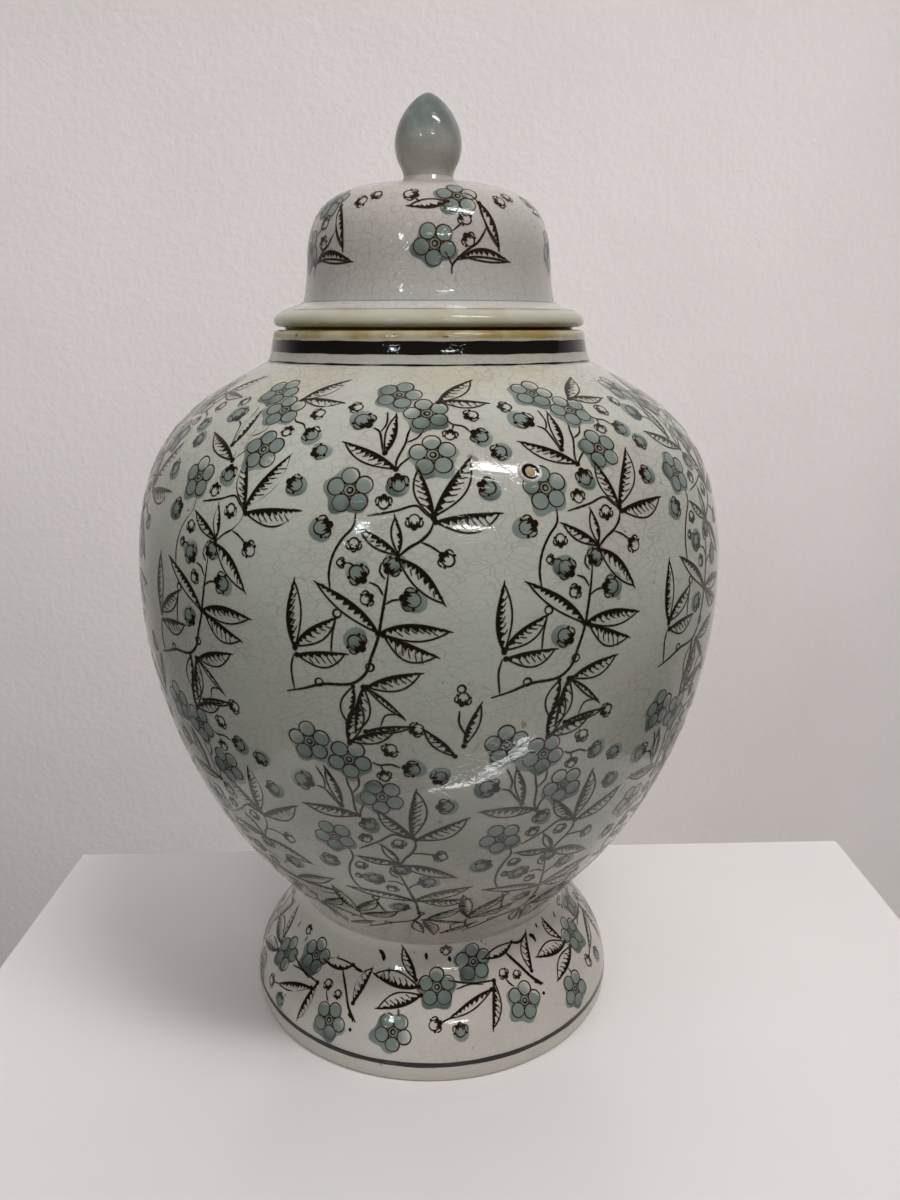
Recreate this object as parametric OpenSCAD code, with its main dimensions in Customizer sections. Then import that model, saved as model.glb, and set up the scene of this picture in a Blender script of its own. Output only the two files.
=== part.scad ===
// Covered jar: a thrown belly on a spreading hollow foot, a short neck, and a
// loose domed lid with a locating ring and a bud finial. Everything is turned
// about one upright axis. Origin: centre of the plane the foot stands on, +Z up.

/* [Foot] */
// Widest diameter of the spreading foot
foot_d = 142; // [128:1:150]
// Height of the foot's widest point, above its rounded lower edge
foot_edge_h = 4; // [2:0.5:7]
// Width of the bare ring that the jar stands on
foot_ring_w = 8; // [6:0.5:11]
// Diameter of the waist, where the foot is luted to the belly
waist_d = 105; // [98:1:112]
// Height of the waist
waist_h = 43; // [38:1:48]

/* [Belly] */
// Diameter at the widest point of the belly
belly_d = 208; // [196:1:220]
// Height of the widest point of the belly
belly_h = 169; // [158:1:180]
// Diameter at the hip, where the belly starts to tuck under to the waist
hip_d = 144; // [138:1:150]
// Height of the hip
hip_h = 70; // [66:1:74]
// Slope of the belly's side at the hip, in degrees above level
hip_slope = 54; // [48:1:60]
// Height where the shoulder ends and the neck starts
shoulder_h = 244.5; // [240:0.5:248]
// Slope of the shoulder where it meets the neck, in degrees below level
shoulder_slope = 28; // [22:1:34]
// Thickness of the belly's wall
wall = 5; // [4:0.5:6.5]
// Thickness of the belly's floor
floor_t = 8; // [6:0.5:10]

/* [Neck] */
// Outside diameter at the foot of the neck
neck_base_d = 112.8; // [110:0.2:116]
// Outside diameter just under the rim
rim_d = 108.6; // [107:0.2:110]
// Height of the neck, from the shoulder to the rim
neck_h = 10.5; // [9:0.5:13]
// Inside diameter of the mouth
mouth_d = 97; // [95:0.5:98]

/* [Lid] */
// Widest diameter of the brim
brim_d = 107.8; // [106:0.2:110]
// Height of the brim, from its flat underside to the foot of the dome
brim_h = 9; // [8:0.5:11]
// Height by which the underside steps up outside the band that rests on the rim
brim_relief = 0.9; // [0.4:0.1:1.6]
// Diameter at the foot of the dome
dome_base_d = 87.4; // [84:0.2:89]
// Diameter of the dome at its shoulder
dome_d = 83.2; // [78:0.2:84]
// Height of the dome's shoulder above the brim's underside
dome_shoulder_h = 24.5; // [21:0.5:28]
// Height of the crown above the brim's underside
crown_h = 48.3; // [45:0.1:52]
// Slope of the crown beside the finial, in degrees below level
crown_slope = 12; // [8:1:16]
// Thickness of the lid's wall
lid_wall = 4.5; // [3.5:0.5:5.5]

/* [Locating ring] */
// Gap between the locating ring and the mouth, on each side
ring_gap = 2; // [1:0.5:3]
// Thickness of the locating ring
ring_wall = 5; // [4:0.5:6]
// Depth of the locating ring below the brim
ring_h = 12; // [9:0.5:15]

/* [Finial] */
// Widest diameter of the finial
finial_d = 22.6; // [20:0.2:25]
// Height of the finial above the crown
finial_h = 27.5; // [26:0.5:32]
// Diameter of the finial's neck
finial_neck_d = 16.8; // [15:0.2:17.4]

/* [Hidden] */
$fn = 180;

glaze = [0.80, 0.78, 0.75];
cream = [0.74, 0.71, 0.61];
celadon = [0.56, 0.60, 0.57];
bare_clay = [0.78, 0.70, 0.56];

// Radii and heights that several pieces share
waist_r = waist_d / 2;
belly_r = belly_d / 2;
mouth_r = mouth_d / 2;
neck_base_r = neck_base_d / 2;
rim_r = rim_d / 2;
rim_h = shoulder_h + neck_h;
crown_top = rim_h + crown_h;
ring_r = mouth_r - ring_gap;
ring_bore_r = ring_r - ring_wall;
finial_base_r = 9;
finial_margin = 0.2;

// Points of a cubic curve from a to d with handles b and c, without its last point
function curve(a, b, c, d, n) = [
    for (i = [0 : n - 1])
        let (t = i / n, s = 1 - t)
            s * s * s * a + 3 * s * s * t * b + 3 * s * t * t * c + t * t * t * d
];

// Unit vector at an angle above level, in the plane of an outline
function heading(angle) = [cos(angle), sin(angle)];

// Points of a quarter ellipse about centre c, from its side to its top or foot
function quarter(c, rx, ry, n) = [
    for (i = [0 : n]) c + [rx * cos(90 * i / n), ry * sin(90 * i / n)]
];

module turned(outline) {
    rotate_extrude() polygon(outline);
}

// Hollow foot: flares from the waist to a rounded edge, open underneath
module pedestal_foot() {
    edge_round = 1.5;
    luted_ring_w = 7;
    waist_pull = [0, 13.5];
    edge_pull = [0, 0.55 * (waist_h - foot_edge_h)];
    bore_foot_pull = [0, 20];
    bore_top_pull = [0, 14];
    foot_r = foot_d / 2;
    waist = [waist_r, waist_h];
    edge = [foot_r, foot_edge_h];
    bore_foot = [foot_r - edge_round - foot_ring_w, 0];
    bore_top = [waist_r - luted_ring_w, waist_h];
    outside = concat(
        curve(waist, waist - waist_pull, edge + edge_pull, edge, 12),
        quarter([foot_r - edge_round, foot_edge_h], edge_round, -foot_edge_h, 5)
    );
    inside = concat(
        curve(bore_foot, bore_foot + bore_foot_pull, bore_top - bore_top_pull, bore_top, 10),
        [bore_top]
    );
    color(glaze) turned(concat(outside, inside));
}

// Belly: one thrown wall from its floor at the waist to the shoulder
module vessel_belly() {
    // How far each curve runs straight on from its end before it bends
    tuck_pull = [0, 2.8];
    hip_pull_low = 10;
    hip_pull_high = 25.6;
    side_pull_low = [0, 41];
    side_pull_high = [0, 52.5];
    shoulder_pull = 30;
    inner_hip_pull = 24;
    inner_side_pull = [0, 48];
    inner_shoulder_pull = 32;
    floor_pull = [8, 0];
    mouth_wall = 3;
    floor_margin = 6.5;
    neck = [neck_base_r, shoulder_h];
    widest = [belly_r, belly_h];
    hip = [hip_d / 2, hip_h];
    waist = [waist_r, waist_h];
    shoulder_dir = heading(-shoulder_slope);
    hip_dir = heading(hip_slope);
    outside = concat(
        curve(waist, waist + tuck_pull, hip - hip_pull_low * hip_dir, hip, 8),
        curve(hip, hip + hip_pull_high * hip_dir, widest - side_pull_low, widest, 14),
        curve(widest, widest + side_pull_high, neck + shoulder_pull * shoulder_dir, neck, 18),
        [neck]
    );
    mouth = [mouth_r, shoulder_h - mouth_wall];
    inner_widest = widest - [wall, 0];
    inner_hip = hip + wall * [-sin(hip_slope), cos(hip_slope)];
    floor_edge = [waist_r - floor_margin, waist_h + floor_t];
    inside = concat(
        [[mouth_r, shoulder_h]],
        curve(
            mouth, mouth + inner_shoulder_pull * shoulder_dir,
            inner_widest + inner_side_pull, inner_widest, 18
        ),
        curve(inner_widest, inner_widest - side_pull_low, inner_hip + inner_hip_pull * hip_dir, inner_hip, 12),
        curve(inner_hip, inner_hip - hip_pull_low * hip_dir, floor_edge + floor_pull, floor_edge, 7),
        [floor_edge, [0, waist_h + floor_t], [0, waist_h]]
    );
    color(glaze) turned(concat(outside, inside));
}

// Neck: a short flared collar luted on the shoulder, with a rounded rim
module neck_collar() {
    rim_round = 2;
    mouth_chamfer = 0.8;
    base_pull = [-1, 2];
    side_pull = [0, 3];
    rim_corner = [rim_r - rim_round, rim_h - rim_round];
    neck = [neck_base_r, shoulder_h];
    side_top = rim_corner + [rim_round, 0];
    outside = concat(
        curve(neck, neck + base_pull, side_top - side_pull, side_top, 6),
        quarter(rim_corner, rim_round, rim_round, 5)
    );
    inside = [[mouth_r + mouth_chamfer, rim_h], [mouth_r, rim_h - mouth_chamfer], [mouth_r, shoulder_h]];
    color(cream) turned(concat(outside, inside));
}

// Lid: brim, ledge and dome in one thrown shell, hollow underneath
module lid_dome() {
    brim_round = [1.5, 1.7];
    underside_pull = [0.9, 0];
    brim_pull_low = [0, 0.9];
    brim_pull_high = [0, 3];
    ledge_pull = [6, -2.6];
    dome_foot_pull = [-0.8, 1.2];
    wall_lean = [-0.06, 1];
    shoulder_pull_low = 7 * wall_lean;
    crown_pull = 14;
    inner_crown_pull = 12;
    crown_extra = 1;
    rest_margin = 3.9;
    brim_r = brim_d / 2;
    rest_r = brim_r - rest_margin;
    underside = [brim_r - brim_round[0], rim_h + brim_relief];
    brim_edge = [brim_r, rim_h + brim_relief + brim_round[1]];
    dome_foot = [dome_base_d / 2, rim_h + brim_h];
    shoulder = [dome_d / 2, rim_h + dome_shoulder_h];
    crown = [finial_base_r + finial_margin, crown_top];
    crown_dir = heading(-crown_slope);
    rise = crown_top - shoulder[1];
    shoulder_pull_high = 0.94 * rise * wall_lean;
    inner_shoulder_pull = 0.8 * rise * wall_lean;
    outside = concat(
        [[rest_r, rim_h], [rest_r + 0.4 * brim_relief, rim_h + brim_relief]],
        curve(underside, underside + underside_pull, brim_edge - brim_pull_low, brim_edge, 5),
        curve(brim_edge, brim_edge + brim_pull_high, dome_foot + ledge_pull, dome_foot, 7),
        curve(dome_foot, dome_foot + dome_foot_pull, shoulder - shoulder_pull_low, shoulder, 6),
        curve(shoulder, shoulder + shoulder_pull_high, crown + crown_pull * crown_dir, crown, 16),
        [crown, [0, crown_top]]
    );
    inner_shoulder = shoulder - [lid_wall, 0];
    inner_crown = crown - [0, lid_wall + crown_extra];
    inside = concat(
        [[0, inner_crown[1]]],
        curve(
            inner_crown, inner_crown + inner_crown_pull * crown_dir,
            inner_shoulder + inner_shoulder_pull, inner_shoulder, 12
        ),
        [inner_shoulder, dome_foot - [lid_wall, 0], [ring_bore_r, rim_h]]
    );
    color(glaze) turned(concat(outside, inside));
}

// Locating ring: hangs from the brim into the mouth and keeps the lid central
module locating_ring() {
    chamfer = 1.2;
    low = rim_h - ring_h;
    color(bare_clay) turned([
        [ring_bore_r, rim_h],
        [ring_bore_r, low + chamfer],
        [ring_bore_r + chamfer, low],
        [ring_r - chamfer, low],
        [ring_r, low + chamfer],
        [ring_r, rim_h]
    ]);
}

// Finial: a solid bud on a narrow neck, luted to the crown
module finial() {
    neck_rise = 1.2;
    bud_h = 11.5;
    neck_pull = [0, 3.2];
    bud_pull_low = [0, 6];
    bud_pull_high = [0, 8.8];
    tip_pull = [3.3, 0];
    neck = [finial_neck_d / 2, crown_top + neck_rise];
    bud = [finial_d / 2, crown_top + bud_h];
    tip = [0, crown_top + finial_h];
    color(celadon) turned(concat(
        [[0, crown_top], [finial_base_r, crown_top]],
        curve(neck, neck + neck_pull, bud - bud_pull_low, bud, 8),
        curve(bud, bud + bud_pull_high, tip + tip_pull, tip, 14),
        [tip]
    ));
}

pedestal_foot();
vessel_belly();
neck_collar();
lid_dome();
locating_ring();
finial();
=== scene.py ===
"""Covered ginger jar in crackled white glaze, with a printed sprig decoration under the gloss."""

import math
import random

import bmesh
import bpy
import numpy as np
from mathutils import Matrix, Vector


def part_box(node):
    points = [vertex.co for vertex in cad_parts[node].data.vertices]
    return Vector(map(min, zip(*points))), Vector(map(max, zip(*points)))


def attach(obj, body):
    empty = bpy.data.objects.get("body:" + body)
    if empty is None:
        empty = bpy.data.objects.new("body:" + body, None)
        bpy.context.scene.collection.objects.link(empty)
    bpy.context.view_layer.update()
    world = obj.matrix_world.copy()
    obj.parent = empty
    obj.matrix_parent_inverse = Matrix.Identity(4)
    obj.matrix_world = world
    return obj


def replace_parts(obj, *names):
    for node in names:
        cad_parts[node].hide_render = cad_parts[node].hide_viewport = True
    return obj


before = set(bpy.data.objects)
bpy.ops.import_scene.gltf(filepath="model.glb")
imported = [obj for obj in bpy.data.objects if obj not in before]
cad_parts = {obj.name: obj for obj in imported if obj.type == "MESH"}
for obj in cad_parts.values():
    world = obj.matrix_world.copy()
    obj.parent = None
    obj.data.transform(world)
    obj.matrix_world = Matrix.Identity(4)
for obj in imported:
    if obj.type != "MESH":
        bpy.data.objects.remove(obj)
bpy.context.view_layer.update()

MM = 0.001
SEGMENTS = 256       # steps round every turned piece and every painted line
SHARP_EDGE = 32      # degrees between faces above which an edge of a turned piece is shaded sharp
PETALS = 5
PETAL_TURN = 360 / PETALS
SOFT_EDGE = 0.45     # mm over which a wash of colour fades out
WASH_LIFT = 0.04     # mm above the glaze, as are the next three
HALO_LIFT = 0.07
INK_LIFT = 0.10
LINE_LIFT = 0.08
HALO_SPREAD = 0.14   # mm by which the paler edge stands out on each side of an ink line
rng = random.Random(11)


def angles(count):
    """Angles evenly spaced round a full turn, in radians."""
    return [2 * math.pi * k / count for k in range(count)]


# ---------------------------------------------------------------- outlines

def ring_graph(node):
    """The (r, z) of each ring of a turned CAD node, in mm, and which rings are joined."""
    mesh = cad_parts[node].data
    co = np.array([v.co for v in mesh.vertices]) / MM
    rz = np.column_stack([np.hypot(co[:, 0], co[:, 1]), co[:, 2]])
    rings = []
    for p in np.unique(rz.round(2), axis=0):
        if not rings or min(math.dist(p, q) for q in rings) > 0.08:
            rings.append(tuple(p))
    spots = np.array(rings)
    label = [int(np.argmin(((spots - p) ** 2).sum(1))) for p in rz]
    joined = {i: set() for i in range(len(rings))}
    for edge in mesh.edges:
        a, b = (label[i] for i in edge.vertices)
        if a != b:
            joined[a].add(b)
            joined[b].add(a)
    return rings, joined


def outline(node, start, towards):
    """Ring points of a CAD node, from the one nearest start to its neighbour nearest towards and on."""
    rings, joined = ring_graph(node)
    walk = [min(range(len(rings)), key=lambda i: math.dist(rings[i], start))]
    while True:
        left = [i for i in joined[walk[-1]] if i not in walk]
        if not left:
            return [rings[i] for i in walk]
        aim = towards if len(walk) == 1 else rings[walk[-1]]
        walk.append(min(left, key=lambda i: math.dist(rings[i], aim)))


def turn_at(a, b, c):
    """Angle in degrees by which the path a, b, c turns at b."""
    u = np.subtract(b, a)
    v = np.subtract(c, b)
    cosine = np.dot(u, v) / (np.linalg.norm(u) * np.linalg.norm(v) + 1e-9)
    return math.degrees(math.acos(max(-1.0, min(1.0, cosine))))


def smooth_path(points, step, corner=30.0):
    """Points about step apart on a smooth curve through the given ones, which stays sharp at its corners."""
    pts = [np.array(p, float) for p in points]
    last = len(pts) - 1
    sharp = {0, last} | {i for i in range(1, last) if turn_at(*pts[i - 1:i + 2]) > corner}
    out = []
    for i in range(last):
        p1, p2 = pts[i], pts[i + 1]
        p0 = 2 * p1 - p2 if i in sharp else pts[i - 1]
        p3 = 2 * p2 - p1 if i + 1 in sharp else pts[i + 2]
        # tangents scaled by the lengths of the neighbouring spans, so uneven points make no loops
        span = np.linalg.norm(p2 - p1)
        m1 = (p2 - p0) / (np.linalg.norm(p1 - p0) + span) * span
        m2 = (p3 - p1) / (np.linalg.norm(p3 - p2) + span) * span
        for t in np.arange(max(1, round(span / step))) / max(1, round(span / step)):
            out.append(
                (2 * t**3 - 3 * t**2 + 1) * p1 + (t**3 - 2 * t**2 + t) * m1
                + (3 * t**2 - 2 * t**3) * p2 + (t**3 - t**2) * m2
            )
    return np.array(out + [pts[-1]])


class Surface:
    """A turned outer surface, addressed by mm round it (from the front, at radius ref) and mm down it."""

    def __init__(self, path, ref):
        self.path, self.ref = path, ref
        self.run = np.r_[0, np.cumsum(np.hypot(*np.diff(path, axis=0).T))]

    def line_at(self, down):
        """The (r, z) point of the outline down mm along it."""
        return tuple(float(np.interp(down, self.run, self.path[:, k])) for k in (0, 1))

    def radius(self, down):
        return self.line_at(down)[0]

    def at(self, across, down, lift):
        """The 3-D point lift mm above the surface, in metres, and the surface's normal there."""
        r, z = self.line_at(down)
        (r0, z0), (r1, z1) = self.line_at(down - 1), self.line_at(down + 1)
        length = math.dist((r0, z0), (r1, z1))
        nr, nz = (z0 - z1) / length, (r1 - r0) / length
        turn = across / self.ref
        out = Vector((math.sin(turn), -math.cos(turn), 0))
        point = (r + lift * nr) * out + Vector((0, 0, z + lift * nz))
        return point * MM, nr * out + Vector((0, 0, nz))


# ---------------------------------------------------------------- meshes

def piece_from(name, verts, faces, material, body, slot):
    """A new smooth-shaded piece that rides on a CAD body."""
    mesh = bpy.data.meshes.new(name)
    mesh.from_pydata(verts, [], faces)
    mesh.validate()
    mesh.shade_smooth()
    mesh.materials.append(material)
    piece = bpy.data.objects.new(name, mesh)
    bpy.context.scene.collection.objects.link(piece)
    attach(piece, body)
    return piece


def face_outwards(mesh):
    """Turns the faces of a closed mesh so that they all look out."""
    work = bmesh.new()
    work.from_mesh(mesh)
    bmesh.ops.recalc_face_normals(work, faces=work.faces)
    work.to_mesh(mesh)
    work.free()


def turned(name, path, material, body, slot, closed=False):
    """A solid of revolution through the (r, z) path in mm; an open path is capped at its ends."""
    verts, faces = [], []
    for r, z in path:
        for a in angles(SEGMENTS):
            verts.append((r * MM * math.sin(a), -r * MM * math.cos(a), z * MM))
    rows = len(path)
    for i in range(rows if closed else rows - 1):
        j = (i + 1) % rows
        for k in range(SEGMENTS):
            n = (k + 1) % SEGMENTS
            faces.append((i * SEGMENTS + k, j * SEGMENTS + k, j * SEGMENTS + n, i * SEGMENTS + n))
    if not closed:
        for row in (0, rows - 1):
            faces.append([row * SEGMENTS + k for k in range(SEGMENTS)])
    piece = piece_from(name, verts, faces, material, body, slot)
    face_outwards(piece.data)
    piece.data.set_sharp_from_angle(angle=math.radians(SHARP_EDGE))
    return piece


class Layer:
    """Thin shapes laid on a surface a fixed distance above it, gathered into one piece."""

    def __init__(self, surface, lift, spread=0.0):
        self.surface, self.lift, self.spread = surface, lift, spread
        self.verts, self.normals, self.faces, self.strength = [], [], [], []

    def shift(self, point, along, across):
        """point moved by true mm round and down the surface."""
        x, s = point
        return x + along * self.surface.ref / self.surface.radius(s), s + across

    def grid(self, rows, closed=False, strength=None):
        """Faces between rows of (across, down) points of equal number."""
        base, width = len(self.verts), len(rows[0])
        for n, row in enumerate(rows):
            for k, (x, s) in enumerate(row):
                point, normal = self.surface.at(x, s, self.lift)
                self.verts.append(point)
                self.normals.append(normal)
                self.strength.append(1.0 if strength is None else strength[n][k])
        for i in range(len(rows) - 1):
            for k in range(width if closed else width - 1):
                n = (k + 1) % width
                a, b = base + i * width, base + (i + 1) * width
                self.faces.append(self.outward([a + k, b + k, b + n, a + n]))

    def outward(self, face):
        """The face's corners in the order that makes it look away from the surface."""
        a, b, c, d = (self.verts[i] for i in face)
        facing = (c - a).cross(d - b).dot(self.normals[face[0]])
        return face if facing > 0 else face[::-1]

    def piece(self, name, material, body, slot):
        """The gathered piece, shaded with the normals of the surface it lies on."""
        made = piece_from(name, self.verts, self.faces, material, body, slot)
        made.data.normals_split_custom_set_from_vertices([tuple(n) for n in self.normals])
        shade = made.data.attributes.new("wash", "FLOAT", "POINT")
        shade.data.foreach_set("value", self.strength)
        return made


# ---------------------------------------------------------------- drawing

def sides(layer, points):
    """Unit normals of a path on the surface, in true mm, to the left of its direction."""
    scale = [layer.surface.radius(s) / layer.surface.ref for _, s in points]
    flat = np.array([(x * k, s) for (x, s), k in zip(points, scale)])
    move = np.gradient(flat, axis=0)
    move /= np.linalg.norm(move, axis=1)[:, None] + 1e-9
    return np.column_stack([move[:, 1], -move[:, 0]])


def stroke(layer, points, width, ends=(0.35, 0.35)):
    """An ink line through the points, that narrows to a share of its width at each end."""
    path = smooth_path(points, 1.1, corner=75)
    normals = sides(layer, path)
    left, right = [], []
    for i, (p, n) in enumerate(zip(path, normals)):
        t = i / (len(path) - 1)
        grow = min(1.0, ends[0] + 4 * t, ends[1] + 4 * (1 - t))
        half = width / 2 * grow * (1 + 0.12 * math.sin(2.3 * i + p[0])) + layer.spread
        left.append(layer.shift(p, *(n * half)))
        right.append(layer.shift(p, *(-n * half)))
    layer.grid([left, right])


def circle(layer, centre, radius, width, oval=1.0, turn=0.0):
    """An ink ring of slightly uneven width."""
    rows = [[], []]
    for a in angles(18):
        uneven = width / 2 * (1 + 0.35 * math.sin(a + centre[0])) + layer.spread
        for row, r in zip(rows, (radius + uneven, radius - uneven)):
            u, v = r * math.cos(a), r * oval * math.sin(a)
            row.append(layer.shift(centre, *rotated(u, v, turn)))
    layer.grid(rows, closed=True)


def dot(layer, centre, radius):
    """A filled spot."""
    radius += layer.spread
    rim = [layer.shift(centre, radius * math.cos(a), radius * math.sin(a)) for a in angles(10)]
    layer.grid([rim, [centre] * len(rim)], closed=True)


def rotated(u, v, degrees):
    """(u, v) turned clockwise as seen, with v pointing down."""
    a = math.radians(degrees)
    return u * math.cos(a) - v * math.sin(a), u * math.sin(a) + v * math.cos(a)


def wash(layer, centre, radius, lobes=0, turn=0.0, heavy=None):
    """A patch of colour with a narrow soft edge: round, or with one bulge for each petal.

    heavy is the direction in degrees in which the colour has pooled."""
    reach, fade = (0.0, 0.35, 0.7, 1.0, 1.0 + SOFT_EDGE / radius), (1.0, 1.0, 1.0, 1.0, 0.0)
    rows = [[] for _ in reach]
    strength = [[] for _ in reach]
    petals = [rng.uniform(-0.26, 0.22) for _ in range(max(1, lobes))]
    for a in angles(30):
        bulge = 1 + 0.13 * math.cos(lobes * (a - math.radians(turn))) if lobes else 1.0
        bulge *= 1 + 0.05 * math.sin(2 * a + centre[0]) + 0.04 * math.sin(3 * a + centre[1])
        own = petals[round((math.degrees(a) - turn) / PETAL_TURN) % len(petals)]
        pooled = 0.0 if heavy is None else math.cos(a - math.radians(heavy))
        for row, levels, share, level in zip(rows, strength, reach, fade):
            r = radius * bulge * share
            row.append(layer.shift(centre, r * math.cos(a), r * math.sin(a)))
            levels.append(level * min(1.0, 0.56 + share * (0.30 * pooled + own)))
    layer.grid(rows, closed=True, strength=strength)


def blossom(ink, colour, centre, turn, size=1.0):
    """Five round petals about a ringed eye."""
    for k in range(PETALS):
        lean = turn + PETAL_TURN * k
        petal = ink.shift(centre, *rotated(0, -4.2 * size, lean))
        circle(ink, petal, 2.55 * size, 0.27, oval=0.97, turn=lean)
        dot(ink, ink.shift(centre, *rotated(0, -2.6 * size, lean + PETAL_TURN / 2)), 0.40 * size)
    circle(ink, centre, 1.75 * size, 0.27)
    circle(ink, centre, 0.80 * size, 0.42)
    if colour:
        drift = rng.uniform(-1.2, 0.3), rng.uniform(0.2, 1.3)
        heavy = math.degrees(math.atan2(drift[1], drift[0])) + rng.uniform(-50, 50)
        wash(colour, colour.shift(centre, *drift), 6.3 * size, lobes=PETALS, turn=turn - 90, heavy=heavy)


def bud(ink, colour, centre, radius, calyx, tinted):
    """A bud of three round petals with dark sepals at their base, on the side the angle points to."""

    def spot(u, v):
        return ink.shift(centre, *rotated(radius * u, radius * v, calyx))

    circle(ink, spot(-0.22, 0), 0.74 * radius, 0.31, oval=0.95, turn=calyx)
    for side in (1, -1):
        arc = [(0.12 + 0.50 * math.cos(a), side * (0.62 + 0.46 * math.sin(a)))
               for a in (math.radians(-50 + 25 * k) for k in range(8))]
        stroke(ink, [spot(*p) for p in arc if math.dist(p, (-0.22, 0)) > 0.72], 0.31, ends=(0.8, 0.8))
        dot(ink, spot(0.42, 0.46 * side), 0.29 * radius)
        dot(ink, spot(-0.42, 0.86 * side), 0.16 * radius)
        stroke(ink, [spot(0.5, 0.15 * side), spot(0.25, 0.3 * side), spot(-0.1, 0.38 * side)], 0.2 * radius)
    dot(ink, spot(0.68, 0), 0.37 * radius)
    stroke(ink, [spot(0.9, -0.1), spot(0.55, 0), spot(0.2, 0.05)], 0.30 * radius)
    if tinted and colour:
        drift = rotated(-0.35 * radius, rng.uniform(-0.2, 0.2) * radius, calyx)
        wash(colour, colour.shift(centre, *drift), radius * 1.12, heavy=rng.uniform(30, 150))


def leaf_heavy_side(ink, point, steps, length, bow, pouch, phase):
    """A bowed band of ink with teeth along its inner edge."""
    sign = math.copysign(1, bow)
    teeth = max(5, round(length / 1.75))
    widest = min(1.15, 0.066 * length, 0.32 * (abs(bow) + pouch))
    outer, inner = [], []
    for k in range(steps + 1):
        t = k / steps
        swell = math.sin(math.pi * t ** 0.85) ** 0.9
        tooth = (t * teeth + 0.3 * math.sin(phase + 9 * t)) % 1.0
        solid = widest * math.sin(math.pi * (0.15 + 0.82 * t))
        depth = max(0.3, solid * (0.62 + 1.45 * tooth ** 1.1))
        outer.append(point(t, bow * swell + sign * (0.15 + ink.spread)))
        inner.append(point(t, bow * swell - sign * (depth + ink.spread)))
    ink.grid([outer, inner])


def leaf_veins(ink, point, length, bow, pouch):
    """Fine slanting lines from the heavy side towards the thin one."""
    sign = math.copysign(1, bow)
    for t in np.linspace(0.25, 0.75, round(length / 3.2)):
        root = bow * math.sin(math.pi * t) - sign * 1.3
        bends = ((0, 0), (0.04, 0.3), (0.09, 0.55))
        vein = [point(t + ahead, root - sign * reach * pouch) for ahead, reach in bends]
        stroke(ink, vein, 0.24)


def leaf(ink, base, tip, bow, pouch):
    """A pointed leaf: a heavy toothed side that bows to the left by bow mm, and a thin side on the right.

    Negative numbers put the heavy side on the right. pouch is how far the thin side swells."""
    base, tip = np.array(base, float), np.array(tip, float)
    scale = ink.surface.radius((base[1] + tip[1]) / 2) / ink.surface.ref
    along = (tip - base) * (scale, 1)
    length = float(np.hypot(*along))
    side = np.array([along[1], -along[0]]) / length
    sign = math.copysign(1, bow)
    steps = max(24, round(length / 0.4))

    def point(t, offset):
        u, v = along * t + side * offset
        return base[0] + u / scale, base[1] + v

    leaf_heavy_side(ink, point, steps, length, bow, pouch, base[0])
    shares = [k / steps for k in (*range(0, steps, 3), steps)]
    thin = [point(t, -sign * pouch * math.sin(math.pi * t ** 1.15) ** 0.85) for t in shares]
    stroke(ink, thin, 0.40, ends=(0.9, 0.9))
    tail = [point(0.9, 0.35 * bow), point(1.0, 0), point(1 + 1.3 / length, -0.2 * sign)]
    stroke(ink, tail, 0.48, ends=(1, 0.1))
    dot(ink, base, min(0.8, 0.055 * length))
    if pouch > 1.8 and length > 12:
        leaf_veins(ink, point, length, bow, pouch)


def knot(ink, centre):
    """A small open joint on a stem."""
    circle(ink, centre, 1.15, 0.4)


def band(layer, low, high, ragged=0.0):
    """A painted line right round the surface between two depths."""
    rows = [[], []]
    for k in range(SEGMENTS):
        x = layer.surface.ref * 2 * math.pi * k / SEGMENTS
        for row, s, phase in zip(rows, (low, high), (0.0, 2.0)):
            wave = math.sin(k * 0.37 + phase) + 0.6 * math.sin(k * 0.91 + 2 * phase)
            row.append((x, s + ragged * wave))
    layer.grid(rows, closed=True)


# ---------------------------------------------------------------- the sprigs

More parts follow.
